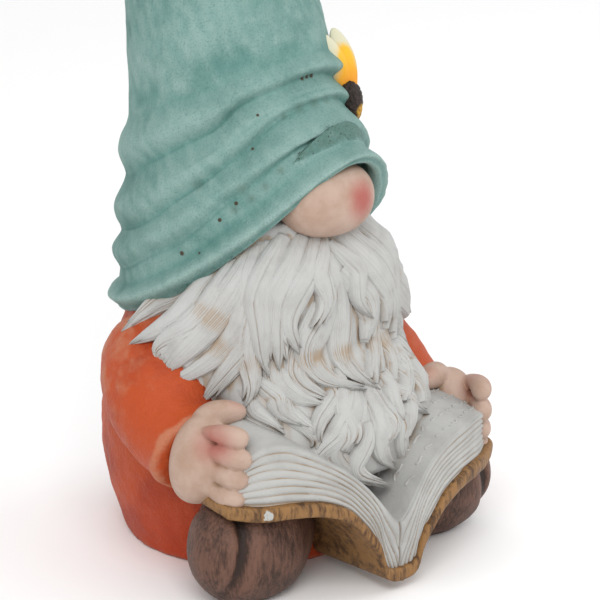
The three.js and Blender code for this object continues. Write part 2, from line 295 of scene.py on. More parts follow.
def hat_point(bearing, row):
    visor = hat_visor * over_nose(bearing, hat_visor_spread)
    turn = Vector((math.sin(bearing), -math.cos(bearing), 0))
    line = (cone_rows + folds * fold_rows - row) / fold_rows
    if row < cone_rows:
        height = lerp(hat_top, hat_line(folds, bearing), (row / cone_rows) ** 1.2)
        radius = hat_brim_radius * hat_taper(hat_share(height))
        below = height - hat_line(folds, bearing)
        radius += 1.2 * (1 - smooth(0, 30, below)) * noise.noise(turn * 1.7 + Vector((0, 0, height / 17)))
    elif line >= 0:
        crease = max(1, min(folds - 1, round(line)))
        wander = noise.noise(turn * 2.6 + Vector((0, 0, crease * 7.3)))
        wander *= 2.4 * (1 - abs(line - crease)) * (1 - over_nose(bearing, hat_peak_spread) / 2)
        height = hat_line(line, bearing) + wander * smooth(0, 1, line)
        fold = min(int(line), folds - 1)
        share = line - fold
        if fold == 0:
            share = min(1, share / (1 - hat_valley))
        strength = 1 + 0.55 * noise.noise(turn * 1.9 + Vector((3.1, 0, fold * 5.7)))
        depth = hat_roll_depth if fold == 0 else hat_fold_depth * strength
        sunk = 0.35 * min(1, folds - line)
        swell = (0.5 - 0.5 * math.cos(2 * math.pi * share ** 0.85)) ** 0.85 - sunk
        radius = hat_brim_radius * hat_taper(hat_share(height)) + depth * swell
        radius += visor * max(0, 1 - line / 2.5)
    else:
        inner = min(-line * fold_rows / lip_rows, 1)
        roll = smooth(0, 0.4, inner)
        height = hat_line(0, bearing) + hat_recess * hat_climb(bearing) ** 2.2 * smooth(0.15, 0.8, inner)
        height -= 1.6 * math.sin(math.pi * min(1, inner / 0.4))
        radius = hat_brim_radius * hat_taper(hat_share(hat_line(0, bearing))) + visor
        radius -= 0.35 * hat_roll_depth + hat_lip * roll
    if row in (0, hat_rows):
        radius = 0
        height = hat_top if row == 0 else hat_brim_front
    wrinkle = noise.noise(Vector((turn.x * 9, turn.y * 9, height / 5.5 + bearing * 2.4)))
    radius += 0.45 * wrinkle * smooth(0, 12, radius)
    return Vector((0, hat_lean * hat_axis(hat_share(height)), height)) + turn * radius


def hat_mark(bearing, line):
    """The place of a mark on the hat, at a bearing in degrees and a fold line."""
    return hat_point(math.radians(bearing), cone_rows + (folds - line) * fold_rows)


mesh = bmesh.new()
add_form(mesh, 260, hat_rows, hat_point)

paint = Paint("hat_paint")
cloud = paint.mottle(30)
brushed = paint.mottle(1.3, detail=7, rough=0.7, at=paint.place(stretch=(1.3, 1.3, 4), turn=(0, 0.3, 0)))
speck = paint.mottle(1.0, detail=5, rough=0.7)
color = paint.blend((cloud + brushed * 0.2).ramp(0.2, 0.85), hat_deep_teal, hat_teal)
worn = (paint.relief * 0.5 + brushed * 0.45 + speck * 0.5 + cloud * 0.8 - 0.4).ramp(0, 1.2)
color = paint.blend(worn * 0.9, color, hat_pale)
# Painted shade: the hollows and creases, where nearby casting hides them, are darkened to deep teal.
painted_shade = (paint.shade_and_wash * 1.5 - paint.relief * 0.8 + cloud * 0.3 - 0.45).ramp(0, 1.1)
color = paint.blend(painted_shade * 0.55, color, hat_deep_teal)
# Olive in the hollows and creases: moss stain, and painted shade where the casting closes in.
moss_and_shade = (paint.shade_and_wash * 1.4 - paint.relief * 0.5 + paint.mottle(14) * 1.6 - 1.2).ramp(0, 1.1)
color = paint.blend(moss_and_shade * speck.ramp(0.25, 0.75) * 0.6, color, hat_moss_and_shade)
grit = paint.mottle(0.8, detail=3).ramp(0.5, 0.7)
color = paint.blend(grit * 0.4, color, hat_deep_teal)

# Olive patches in the creases, moss stains that also stand for painted shade under the folds: bearings, fold
# lines, radii and strengths.
# Each patch is olive moss darkened further as painted shade in its crease.
for bearing, line, radius, strength in (
    (-45, 0.8, 3, 0.5), (-37, 0.8, 3, 0.5), (-30, 0.8, 3, 0.5), (-22, 0.85, 3, 0.5), (-12, 0.85, 3, 0.4),
    (-14, 2.0, 3, 0.4), (-5, 2.02, 4, 0.4), (5, 2.0, 4, 0.5), (14, 2.02, 4, 0.5), (24, 2.0, 4, 0.4),
    (-40, 1.1, 4, 0.4), (-62, 2.05, 4, 0.4),
):
    stain_and_shade = paint.spot(hat_mark(bearing, line), radius)
    color = paint.blend(stain_and_shade * speck.ramp(0.2, 0.7) * strength, color, hat_moss_and_shade)

# The larger pinholes, filled with wash: bearings, fold lines and radii.
for bearing, line, radius in (
    (-70, 0.73, 1.5), (-52, 0.81, 1.3), (-44, 0.88, 1.3), (4, 3.0, 1.6), (8, 3.02, 1.7), (12, 3.0, 1.6),
    (-33, 1.9, 1.0), (-28, 2.6, 1.0), (-61, 0.5, 0.9),
):
    color = paint.blend(paint.spot(hat_mark(bearing, line), radius).ramp(0, 0.6), color, brown_wash_and_shade)
pit = paint.mottle(1.1, detail=1).ramp(0.32, 0.24) * (paint.shade_and_wash + 0.25).ramp(0.2, 0.8)
color = paint.blend(pit * 0.8, color, brown_wash_and_shade)
grain = speck + paint.mottle(0.6) * 0.5 + brushed * 0.8 - pit * 1.5
hat = make_piece("hat", mesh, paint.finish(color, speck * 0.25 + 0.45, grain, 0.9))


# The nose: a smooth round knob cast under the brim, painted a pinkish beige and blushed at its
# tip with a dabbed red.
nose_width = 44
nose_depth = 35
nose_height = 32
nose_reach = 66.5
nose_middle = 158.5
nose_side = 2
skin = (0.465, 0.335, 0.270)
skin_shade = (0.370, 0.240, 0.175)
blush = (0.370, 0.105, 0.085)
tan_wash_and_shade = (0.260, 0.165, 0.095)


def skin_paint(name, blushes):
    """Matt skin colour with a faint mottle, blushed round points given with their radii."""
    paint = Paint(name)
    cloud = paint.mottle(12)
    color = paint.blend(cloud.ramp(0.3, 0.75), skin, skin_shade)
    # Tan in the hollows: the antiquing wash, and painted shade where the casting closes in.
    color = paint.blend((paint.shade_and_wash * 1.4 - paint.relief * 0.8 - 0.25).ramp(0, 0.9) * 0.8, color, tan_wash_and_shade)
    for centre, radius, strength in blushes:
        color = paint.blend(paint.spot(centre, radius) * (cloud + 0.5) * strength, color, blush)
    speck = paint.mottle(1.3, detail=3)
    return paint.finish(color, speck * 0.2 + 0.42, speck, 0.22)


def squared(value, power):
    return math.copysign(abs(value) ** power, value)


def nose_point(bearing, row):
    angle = math.pi * row / 72
    ring = math.sin(angle) ** 0.92
    return (
        nose_side + nose_width / 2 * ring * squared(math.sin(bearing), 0.92),
        nose_depth / 2 - nose_reach - nose_depth / 2 * ring * squared(math.cos(bearing), 0.92),
        nose_middle + nose_height / 2 * squared(math.cos(angle), 0.92),
    )


mesh = bmesh.new()
add_form(mesh, 110, 72, nose_point)
nose_tip = (nose_side + 6.5, 3 - nose_reach, nose_middle + 1)
nose = make_piece("nose", mesh, skin_paint("nose_paint", [(nose_tip, 12, 1.4)]))


# The beard: a bib that falls from the nose into the open book, carved into tapering locks that
# lie over each other, each one combed into fine strands. It is painted off-white, and a tan wash
# is left between the strands; tan and brown are also painted there and between the locks as
# shade.
beard_top = 150
beard_bottom = 46
beard_radius = 62
beard_tucked = 50
beard_flare = 20
beard_over_shoulder = 7
strand_pitch = 1.05
strand_depth = 0.3
parting_depth = 0.6
lock_base = 2.6
beard_white = (0.465, 0.465, 0.452)
beard_grey = (0.400, 0.395, 0.382)
beard_tan = (0.340, 0.240, 0.150)
random = Random(7)


def beard_point(bearing, height, lift):
    """The point on the beard's front at a bearing and height, lifted off it by some distance."""
    turn = math.degrees(abs(bearing))
    share = (height - beard_bottom) / (beard_top - beard_bottom)
    radius = beard_radius * (1 - 0.2 * smooth(0.76, 1, share))
    radius += beard_flare * (1 - smooth(62, 98, height)) * (1 - smooth(34, 54, turn))
    below_brim = hat_line(0, bearing) - height
    radius = lerp(min(radius, beard_tucked), radius, smooth(-4, 15, below_brim)) + lift
    radius += beard_over_shoulder * smooth(46, 64, turn) * smooth(122, 104, height)
    return Vector((radius * math.sin(bearing), -radius * math.cos(bearing), height))


def add_lock(mesh, guide, width, thickness, around, rows):
    """One combed lock along points, as bearings in degrees, heights and lifts off the beard. It
    is a low lens in section, and ends in a point."""
    stations = [i / (len(guide) - 1) for i in range(len(guide))]
    at = [curve_of(stations, [point[i] for point in guide]) for i in range(3)]
    strands = max(3, round(2 * width / strand_pitch))
    heights = [random.uniform(-0.2, 0.2) for _ in range(strands + 3)]
    partings = [random.randint(1, strands) for _ in range(strands // 7)]
    seed = Vector((random.uniform(0, 90), random.uniform(0, 90), 0))
    shares = [(1 - math.cos(math.pi * row / rows)) / 2 for row in range(rows + 1)]
    centres = [beard_point(math.radians(at[0](s)), at[1](s), at[2](s)) for s in shares]
    back = 0.12

    def place(bearing, row):
        share = shares[row]
        centre = centres[row]
        along = (centres[min(row + 1, rows)] - centres[max(row - 1, 0)]).normalized()
        out = Vector((centre.x, centre.y, 0)).normalized()
        out = (out - along * out.dot(along)).normalized()
        side = out.cross(along)
        swell = smooth(-0.35, 0.45, share) * (1.05 - share ** 2) ** 1.1 if 0 < row < rows else 0
        turn = bearing / math.pi
        if abs(turn) > 1 - back:
            across = math.copysign((1 - abs(turn)) / back, turn)
            return centre + side * across * width * swell - out * lock_base
        across = turn / (1 - back)
        across = lerp(across, math.sin(across * math.pi / 2), 0.35)
        wave = 1.1 * noise.noise(seed + Vector((share * 2.6, across * 0.8, 0)))
        strand = (across + 1) / 2 * strands + wave + 1
        gap = abs(strand - math.floor(strand) - 0.5) * 2
        height = thickness * (1 - across * across) ** 0.75 * (1 - 0.55 * share ** 2)
        height += heights[int(strand) % len(heights)] * (1 - gap)
        height -= strand_depth * gap * gap
        for parting in partings:
            height -= parting_depth * math.exp(-((strand - parting - 1) / 0.5) ** 2) * smooth(0, 0.25, share)
        height -= lock_base * abs(across) ** 12
        return centre + side * across * width * swell + out * height

    add_form(mesh, around, rows, place)


def add_tress(mesh, guide, width, lift):
    """A broad lock, with finer ones that part from it on both sides and end in points of their
    own."""
    stations = [i / (len(guide) - 1) for i in range(len(guide))]
    bearing_at, height_at = (curve_of(stations, [point[i] for point in guide]) for i in range(2))
    phase = random.uniform(0, 2 * math.pi)

    def at(along, offset):
        sway = 2.8 * math.sin(phase + 5.5 * along) * smooth(0, 0.4, along)
        return bearing_at(along) + offset + sway, height_at(along)

    points = [(*at(i / 6, 0), lift - 4.2 + 5.5 * (i / 6) ** 0.6) for i in range(7)]
    add_lock(mesh, points, 1.15 * width, 3.2, 76, 26)
    spread = math.degrees(width / beard_radius)
    for side in (-1, 1):
        start = random.uniform(0.3, 0.5)
        end = random.uniform(0.84, 0.98)
        root_offset = random.uniform(0.25, 0.5)
        tip_offset = random.uniform(0.05, 0.5)
        points = []
        for i in range(5):
            offset = side * spread * lerp(root_offset, tip_offset, i / 4)
            points.append((*at(lerp(start, end, i / 4), offset), lift - 2.2 + 4.2 * i / 4))
        add_lock(mesh, points, width * random.uniform(0.4, 0.55), 2.1, 44, 20)


def add_bib(mesh):
    """The beard's mass below its locks."""
    rows = 50

    def place(bearing, row):
        share = min(max((row - 1) / (rows - 2), 0), 1)
        height = lerp(beard_top, beard_bottom, share)
        point = beard_point(bearing, height, 0.4)
        side = smooth(40, 60, math.degrees(abs(bearing)))
        behind = smooth(66, 96, math.degrees(abs(bearing)))
        tuck = (1 - 0.3 * side * (1 - smooth(66, 84, height))) * (1 - 0.45 * behind)
        uneven = noise.noise(Vector((bearing * 26, height / 26, 0)))
        reach = tuck * (0 if row in (0, rows) else 1) * (1 + 0.8 * uneven / beard_radius)
        return (point.x * reach, point.y * reach, height)

    add_form(mesh, 150, rows, place)


beard_paint = Paint("beard_paint")
strand_cloud = beard_paint.mottle(9)
fine_hair = beard_paint.mottle(0.8, at=beard_paint.place(stretch=(1, 1, 6)))
color = beard_paint.blend(strand_cloud.ramp(0.4, 0.8), beard_white, beard_grey)
# Tan between the strands and brown in the deepest gaps: the antiquing wash, and painted shade where the locks
# close in.
groove = (beard_paint.shade_and_wash * 1.3 - beard_paint.relief * 0.7 + strand_cloud * 0.6 - 0.45).ramp(0, 1.3)
color = beard_paint.blend(groove * 0.85, color, beard_tan)
stain_and_shade = (beard_paint.shade_and_wash * 1.2 + beard_paint.mottle(3) - 1.3).ramp(0.1, 0.4)
color = beard_paint.blend(stain_and_shade * 0.7, color, brown_wash_and_shade)
beard_finish = beard_paint.finish(color, fine_hair * 0.2 + 0.45, fine_hair, 0.25)

# The lower tresses, from the lips down into the book: bearings from the front and heights.
lower_tresses = [
    ([(-42, 84), (-36, 79), (-32, 75), (-31, 70)], 4.5, 0.6),
    ([(-38, 90), (-32, 82), (-26, 77), (-20, 72)], 5.5, 1.0),
    ([(-28, 84), (-24, 76), (-22, 69), (-21, 63)], 5, 0.6),
    ([(-27, 104), (-27, 92), (-21, 82), (-17, 79)], 6.5, 1.2),
    ([(-20, 108), (-21, 96), (-17, 86), (-9, 78)], 6.5, 1.0),
    ([(-9, 90), (-10, 80), (-14, 73), (-19, 66)], 5.5, 1.4),
    ([(-4, 88), (-5, 77), (-8, 69), (-15, 61)], 5.5, 2.2),
    ([(13, 86), (16, 77), (15, 71), (10, 66)], 5.5, 1.0),
    ([(26, 96), (30, 86), (26, 78), (20, 72)], 6, 0.8),
    ([(34, 92), (40, 82), (36, 76), (30, 70)], 5.5, 0.6),
    ([(22, 84), (25, 76), (22, 70), (24, 62)], 5, 0.6),
    ([(6, 84), (8, 72), (5, 65), (2, 58)], 5, 2.0),
    ([(30, 100), (36, 90), (38, 80), (30, 72)], 5.5, 0.8),
    ([(20, 92), (28, 84), (30, 76), (22, 68)], 5.5, 1.2),
    ([(14, 78), (20, 70), (18, 62), (10, 57)], 5, 1.4),
    ([(4, 80), (3, 67), (5, 56), (7, 46)], 6, 2.4),
    ([(-6, 76), (-12, 66), (-17, 57), (-15, 48)], 5.5, 1.8),
    ([(9, 72), (13, 63), (14, 54), (11, 46)], 5, 1.8),
    ([(-1, 68), (-4, 57), (-4, 49), (2, 41)], 5, 3.2),
    ([(11, 118), (19, 103), (19, 91), (8, 81)], 7.5, 1.0),
    ([(21, 116), (26, 103), (25, 90), (14, 80)], 7, 1.2),
    ([(0, 126), (0, 110), (1, 98), (2, 87), (6, 79)], 7.5, 1.2),
    ([(-5, 125), (-11, 112), (-14, 101), (-10, 88), (2, 81)], 8.5, 2.2),
    ([(2, 130), (10, 117), (15, 105), (12, 97)], 8, 2.4),
    ([(2, 84), (-5, 72), (-11, 61), (-8, 51), (0, 40)], 7.5, 1.6),
]
mesh = bmesh.new()
for guide, width, lift in lower_tresses:
    add_tress(mesh, guide, width, lift)
beard_locks = make_piece("beard_locks", mesh, beard_finish)

# Below them lie the bib and rows of short low locks that fill the gaps: heights and lengths.
low_rows = ((122, 26), (100, 24), (81, 20))
low_locks = 14
low_spacing = 9
mesh = bmesh.new()
add_bib(mesh)
for height, length in low_rows:
    for step in range(low_locks):
        start = low_spacing * step - 58 + random.uniform(-3, 3)
        top = height + random.uniform(-3, 3) - abs(start) * 0.12
        drift = random.uniform(-7, 7)
        guide = [(start + drift * i / 3 + (i % 2), top - length * i / 3, 0.4 * i - 2.2) for i in range(4)]
        add_lock(mesh, guide, random.uniform(4.5, 6), 2.2, 44, 16)
beard = make_piece("beard", mesh, beard_finish)

# The upper tresses, alike on both sides: the whiskers sweep back under the brim, and the
# moustache lies over them.
upper_tresses = [
    ([(62, 126), (74, 118), (85, 110), (93, 102)], 6.5, 0),
    ([(53, 130), (62, 119), (72, 109), (82, 98)], 7, 0),
    ([(48, 126), (56, 113), (64, 102), (76, 92)], 7, 0.4),
    ([(44, 135), (51, 123), (60, 110), (68, 102), (67, 95)], 8, 0.6),
    ([(36, 140), (46, 125), (55, 108), (63, 95), (68, 90)], 7.5, 1.0),
    ([(32, 143), (38, 127), (45, 110), (56, 94), (70, 83)], 8, 0.8),
    ([(29, 143), (35, 123), (39, 103), (46, 89), (55, 77)], 8, 1.4),
    ([(26, 143), (33, 120), (36, 101), (38, 89), (43, 79)], 7.5, 1.8),
    ([(21, 145), (31, 130), (35, 114), (36, 101), (31, 91)], 8, 3.0),
    ([(12, 144), (22, 130), (28, 116), (31, 103), (29, 93)], 8, 3.0),
    ([(6, 143), (15, 130), (21, 117), (23, 107), (23, 99)], 7, 3.2),
    ([(2, 142), (8, 131), (11, 120), (15, 109)], 5.5, 3.2),
]
mesh = bmesh.new()
for guide, width, lift in upper_tresses:
    for side in (-1, 1):
        slip = 0 if side < 0 else random.uniform(-2, 2)
        mirrored = [(side * bearing + slip, height + slip) for bearing, height in guide]
        add_tress(mesh, mirrored, width, lift)
moustache = make_piece("moustache", mesh, beard_finish)


# The coat: a round padded body with short thick sleeves, cast as one mass and painted a burnt
# orange over salmon, rubbed thin on the shoulders and elbows.
coat_height = 128
coat_radius = 63.3
shoulder_radius = 27
elbow_radius = 25
cuff_radius = 18
left_drop = 15
coat_orange = (0.440, 0.062, 0.010)
coat_deep = (0.230, 0.018, 0.004)
coat_salmon = (0.460, 0.185, 0.100)
coat_red = (0.420, 0.030, 0.003)
coat_shape = curve_of(
    [-0.05, 0.04, 0.13, 0.22, 0.36, 0.5, 0.62, 0.73, 0.85, 1],
    [0.8, 0.86, 0.92, 0.97, 1, 0.98, 0.93, 0.85, 0.77, 0.68],
)


def coat_point(bearing, row):
    rows = 60
    share = lerp(1, 0, min(max((row - 1) / (rows - 2), 0), 1))
    radius = 0 if row in (0, rows) else coat_radius * coat_shape(share)
    return (radius * math.sin(bearing), -radius * math.cos(bearing), coat_height * share)


def add_sweep(mesh, points, around, rows, outward, size):
    """A rounded bar through points. size gives the half width and half thickness at a share of
    the length, and outward is where its broad side faces."""
    stations = [i / (len(points) - 1) for i in range(len(points))]
    at = [curve_of(stations, [point[i] for point in points]) for i in range(3)]
    shares = [(1 - math.cos(math.pi * row / rows)) / 2 for row in range(rows + 1)]
    centres = [Vector((at[0](s), at[1](s), at[2](s))) for s in shares]

    def place(bearing, row):
        along = (centres[min(row + 1, rows)] - centres[max(row - 1, 0)]).normalized()
        out = (outward - along * outward.dot(along)).normalized()
        width, thickness = size(shares[row]) if 0 < row < rows else (0, 0)
        across = out.cross(along) * width * math.sin(bearing)
        return centres[row] + across + out * thickness * math.cos(bearing)

    add_form(mesh, around, rows, place)


def fuse(mesh, skin_size, rounds):
    """Presses a mesh's forms together into one even skin and softens their joins."""
    data = bpy.data.meshes.new("pressed")
    mesh.to_mesh(data)
    block = bpy.data.objects.new("pressed", data)
    bpy.context.collection.objects.link(block)
    skin_maker = block.modifiers.new("skin", "REMESH")
    skin_maker.mode = "VOXEL"
    skin_maker.voxel_size = skin_size * MM
    skinned = bpy.data.meshes.new_from_object(block.evaluated_get(bpy.context.evaluated_depsgraph_get()))
    mesh.clear()
    mesh.from_mesh(skinned)
    bpy.data.objects.remove(block)
    for _ in range(rounds):
        bmesh.ops.smooth_vert(
            mesh, verts=mesh.verts, factor=0.5, use_axis_x=True, use_axis_y=True, use_axis_z=True)


mesh = bmesh.new()
add_form(mesh, 120, 60, coat_point)
sleeve_radius = curve_of(
    [0, 0.12, 0.45, 0.75, 0.9, 0.96, 1],
    [shoulder_radius * 0.6, shoulder_radius * 0.94, elbow_radius, cuff_radius + 1.5,
     cuff_radius, cuff_radius + 0.7, cuff_radius - 1.5],
)
for side, drop in ((-1, 0), (1, left_drop)):
    points = [(38, 6, 92), (54, -10, 80), (63, -28, 67), (67, -47, 60)]
    points = [(side * x, y, z - drop * lerp(0.75, 1, i / 3)) for i, (x, y, z) in enumerate(points)]
    add_sweep(mesh, points, 72, 48, Vector((0, 0, 1)), lambda share: (sleeve_radius(share),) * 2)
fuse(mesh, 1.3, 5)
for vert in mesh.verts:
    if vert.co.z > 0.5 * MM:
        place = vert.co / MM
        rough_cast = noise.noise(place / 9) * 0.5 + noise.noise(place / 3.2) * 0.22
        vert.co += vert.normal * rough_cast * MM

paint = Paint("coat_paint")
cloud = paint.mottle(30)
patch = paint.mottle(10, detail=5, rough=0.65)
speck = paint.mottle(1.4, detail=3)
color = paint.blend(cloud.ramp(0.4, 0.7) * 0.7, coat_orange, coat_deep)
upper_arm = paint.spot((-62, 4, 92), 42)
worn = (paint.relief * 0.5 + patch * 1.2 + upper_arm * 0.5 + speck * 0.3 - 0.95).ramp(0.1, 0.8)
color = paint.blend(worn * 0.75, color, coat_salmon)
low = paint.spot((-30, -25, 0), 75)
color = paint.blend(low * 0.7, color, coat_red)
# Painted shade: the hollows and creases, where nearby casting hides them, are darkened to a deeper orange.
painted_shade = (paint.shade_and_wash * 1.3 - paint.relief * 0.5 + patch * 0.5 - 0.5).ramp(0, 0.9)
color = paint.blend(painted_shade * 0.8, color, coat_deep)
grain = speck + paint.mottle(0.6) * 0.4
coat = make_piece("coat", mesh, paint.finish(color, speck * 0.25 + 0.4, grain, 0.6))


# The hands: two short mittens with the fingers parted at their ends, holding the book's outer
# corners, painted as the nose is and blushed on their backs.
book_half_width = 71.5
book_front = 100.5
book_sweep = 26
palm_length = 17
palm_height = 19
palm_thickness = 11.5
finger_radius = 4.6
finger_length = 21
finger_lift = 3.5
thumb_radius = 5.8


def book_front_at(share):
    """How far forward the book's front lies, at a share from the spine to the fore edge."""
    return -book_front + book_sweep * share ** 2.6


hand_along = Vector((-0.46, -0.88, -0.09)).normalized()
hand_out = Vector((0.88, -0.46, 0)).normalized()


def add_hand(mesh, side, palm):
    def at(forward, sideways, up):
        point = palm + hand_along * forward + hand_out * sideways + Vector((0, 0, up))
        return (point.x * side, point.y, point.z)

    outward = Vector((hand_out.x * side, hand_out.y, 0.15))

    def mitten(share):
        rounding = math.sin(math.pi * share ** 0.9) ** 0.5
        return palm_height * rounding, (palm_thickness + 1) * rounding

    def finger(share):
        return (finger_radius * math.sin(math.pi * share ** 1.5) ** 0.3,) * 2

    def thumb(share):
        return (thumb_radius * math.sin(math.pi * share ** 1.2) ** 0.45,) * 2

    back = [at(-palm_length, -2, 0), at(-5, 0, 0), at(palm_length * 0.7, 0, 0)]
    add_sweep(mesh, back, 60, 40, outward, mitten)
    for i in range(4):
        spread = (palm_height - finger_radius) * 0.92
        up = lerp(spread, -spread, i / 3) + finger_lift
        length = finger_length - 1.5 * abs(i - 1)
        points = [at(-2, 5, up * 0.9), at(length * 0.55, 8, up), at(length, 6.5, up - 1)]
        add_sweep(mesh, points, 28, 28, outward, finger)
    points = [at(-12, -4, 10), at(-3, -8, 17), at(8, -18, 18)]
    add_sweep(mesh, points, 32, 28, Vector((0, 0, 1)), thumb)


hands = []
for name, side, drop in (("right_hand", -1, 0), ("left_hand", 1, 10)):
    palm = Vector((book_half_width - 4, book_front_at(1) + 15, 61.2 - drop))
    mesh = bmesh.new()
    add_hand(mesh, side, palm)
    fuse(mesh, 0.7, 3)
    back = palm + hand_out * palm_thickness + hand_along * 6
    knuckle = (side * back.x, back.y, back.z + 13)
    nail = palm - hand_out * 14 + hand_along * 6
    nail_place = (side * nail.x, nail.y, nail.z + 24)
    material = skin_paint(name + "_paint", [(knuckle, 14, 0.9), (nail_place, 8, 0.3)])
    hands.append(make_piece(name, mesh, material))


# The book's pages: the open block of thick sheets, whose edges fan from the gutter, painted
# white and antiqued, and darkened with painted shade in the grooves and hollows. Rows of shallow
# strokes run across the left page.
gutter_height = 30
crest_heights = (72, 60.5)
spine_height = 7.5
wing_heights = (45, 39.5)
book_depth = 45
spine_fall = 3
wing_rises = (6, 9)
sheets = 8
sheet_groove = 1.0
gutter_bend = 17
page_white = (0.430, 0.428, 0.412)
page_grey = (0.355, 0.352, 0.340)
page_tops = (
    curve_of([0, 0.05, 0.25, 0.47, 0.69, 0.82, 0.92, 1], [0, 0.06, 0.47, 0.79, 1, 1, 0.88, 0.7]),
    curve_of([0, 0.05, 0.25, 0.47, 0.69, 0.82, 0.92, 1], [0, 0.09, 0.7, 0.95, 1, 0.96, 0.86, 0.52]),
)
page_foot = curve_of(
    [0, 0.11, 0.16, 0.26, 0.36, 0.51, 0.66, 0.85, 1],
    [0, 0.08, 0.36, 0.63, 0.84, 0.97, 1, 0.98, 1.02],
)


def book_foot(across):
    """The height of the pages' underside, at a share across from -1 to 1."""
    return lerp(spine_height, wing_heights[across > 0], page_foot(abs(across)))


def book_top(across):
    return lerp(gutter_height, crest_heights[across > 0], page_tops[across > 0](abs(across)))


def book_tilt(across, back):
    """How much higher the book lies behind its front: its spine sinks and its wings rise."""
    return lerp(-spine_fall, wing_rises[across > 0], smooth(0, 0.5, abs(across))) * back


def add_block(mesh, across, deep, up, place):
    """A box cut into a grid. place gives the point at a share across from -1 to 1, and shares
    from front to back and from bottom to top."""
    box = bmesh.ops.create_cube(mesh, size=2)["verts"]
    edges = {edge for vert in box for edge in vert.link_edges}
    for axis, cuts in enumerate((across, deep, up)):
        ring = [edge for edge in edges if abs(edge.verts[0].co[axis] - edge.verts[1].co[axis]) > 1e-4]
        bmesh.ops.subdivide_edges(mesh, edges=ring, cuts=cuts - 1, use_grid_fill=True)
        edges = set(mesh.edges)
    for vert in mesh.verts:
        across = math.copysign(abs(vert.co.x) ** 1.35, vert.co.x)
        vert.co = Vector(place(across, (vert.co.y + 1) / 2, (vert.co.z + 1) / 2)) * MM


def page_point(across, back, up):
    share = abs(across)
    bent = 1 - (1 - up) * smooth(-0.35, 1, share * book_half_width / gutter_bend) ** 0.8
    sheet = bent * sheets + 0.3 * noise.noise(Vector((across * 3, up * 3, 0)))
    edge = abs(sheet - math.floor(sheet) - 0.5) * 2
    groove = sheet_groove * edge ** 3 * (1 - smooth(0.97, 1, up))
    groove += 1.6 * (1 - smooth(0, 0.012, share))
    ragged = 0.6 * noise.noise(Vector((across * 4, math.floor(sheet) * 3.1, 4)))
    half = book_half_width - (groove + ragged if share > 0.9999 else 0)
    front = book_front_at(share) + (groove + ragged if back < 1e-4 else 0)
    height = lerp(book_foot(across), book_top(across), up) + book_tilt(across, back)
    height += 0.4 * up * noise.noise(Vector((across * 4, back * 2, 9)))
    return (across * half, lerp(front, book_front_at(1) + book_depth, back), height)


def add_strokes(mesh):
    """Rows of short raised strokes across the gnome's left page."""
    for row in range(7):
        share = 0.14
        while share < 0.9:
            length = random.uniform(0.025, 0.07)
            back = lerp(0.1, 0.86, row / 6)
            points = []
            for j in range(4):
                across = share + length * j / 3
                deep = back + random.uniform(-0.02, 0.02)
                point = page_point(across, deep, 1)
                points.append((point[0], point[1], point[2] - 0.12))
            add_sweep(mesh, points, 8, 8, Vector((-0.4, 0, 1)), lambda s: (0.65, 0.6))
            share += length + random.uniform(0.02, 0.05)


mesh = bmesh.new()
add_block(mesh, 240, 40, sheets * 6, page_point)
add_strokes(mesh)

paint = Paint("page_paint")
cloud = paint.mottle(16)
color = paint.blend(cloud.ramp(0.35, 0.7), page_white, page_grey)
# Tan in the grooves between the sheets and brown in the hollows: the antiquing, and painted shade where the
# sheets and the beard close in.
aged_and_shaded = (paint.shade_and_wash * 1.2 - paint.relief * 1.2 + cloud * 0.5 - 0.45).ramp(0, 0.9)
color = paint.blend(aged_and_shaded * 0.8, color, beard_tan)
stain_and_shade = (paint.shade_and_wash + paint.mottle(4) - 1.05).ramp(0.1, 0.4)
color = paint.blend(stain_and_shade * 0.7, color, brown_wash_and_shade)
speck = paint.mottle(1.2, detail=3)
pages = make_piece("book_pages", mesh, paint.finish(color, speck * 0.2 + 0.45, speck, 0.25))


# The book's cover: a board that stands a little proud of the pages and dips into a flat spine,
# painted gold brown over black with a stiff brush.
cover_thickness = 3.2
cover_margin = 2.5
cover_seat = 2.4
spine_gap = 0.9
cover_gold = (0.270, 0.140, 0.050)
cover_dark = (0.075, 0.036, 0.016)


def cover_point(across, back, up):
    share = abs(across)
    top = book_foot(across) + cover_seat
    foot = max(spine_gap, book_foot(across) - cover_thickness)
    rounding = 0.8 * abs(2 * up - 1) ** 2.5
    wear = 0.5 * noise.noise(Vector((across * 9, up, 2)))
    worn = max(0, rounding - wear)
    half = book_half_width + cover_margin - (worn if share > 0.9999 else 0)
    front = book_front_at(share) - cover_margin + (worn if back < 1e-4 else 0)
    return (
        across * half,
        lerp(front, book_front_at(1) + book_depth, back),
        max(spine_gap, lerp(foot, top, up) + book_tilt(across, back)),
    )


mesh = bmesh.new()
add_block(mesh, 160, 36, 8, cover_point)

paint = Paint("cover_paint")
strokes = paint.mottle(1.5, detail=6, rough=0.65, at=paint.place(stretch=(1, 2.5, 5)))
cloud = paint.mottle(11)
color = paint.blend((strokes + cloud * 0.6 - 0.3).ramp(0.3, 0.6), cover_dark, cover_gold)
# Painted shade: the hollows, where nearby casting hides the cover, are darkened towards the black.
painted_shade = (paint.shade_and_wash * 1.2 - paint.relief * 0.6 - 0.1).ramp(0, 0.9)
color = paint.blend(painted_shade * 0.8, color, cover_dark)
chip = (paint.spot((-60, -87, 44), 4.5) * 0.8 + paint.mottle(2) * 1.2 - 0.85).ramp(0.15, 0.3)
color = paint.blend(chip, color, page_white)
speck = paint.mottle(1.3, detail=3)
cover_finish = paint.finish(color, strokes * 0.3 + 0.4, strokes + speck, 0.5)
cover = make_piece("book_cover", mesh, cover_finish)


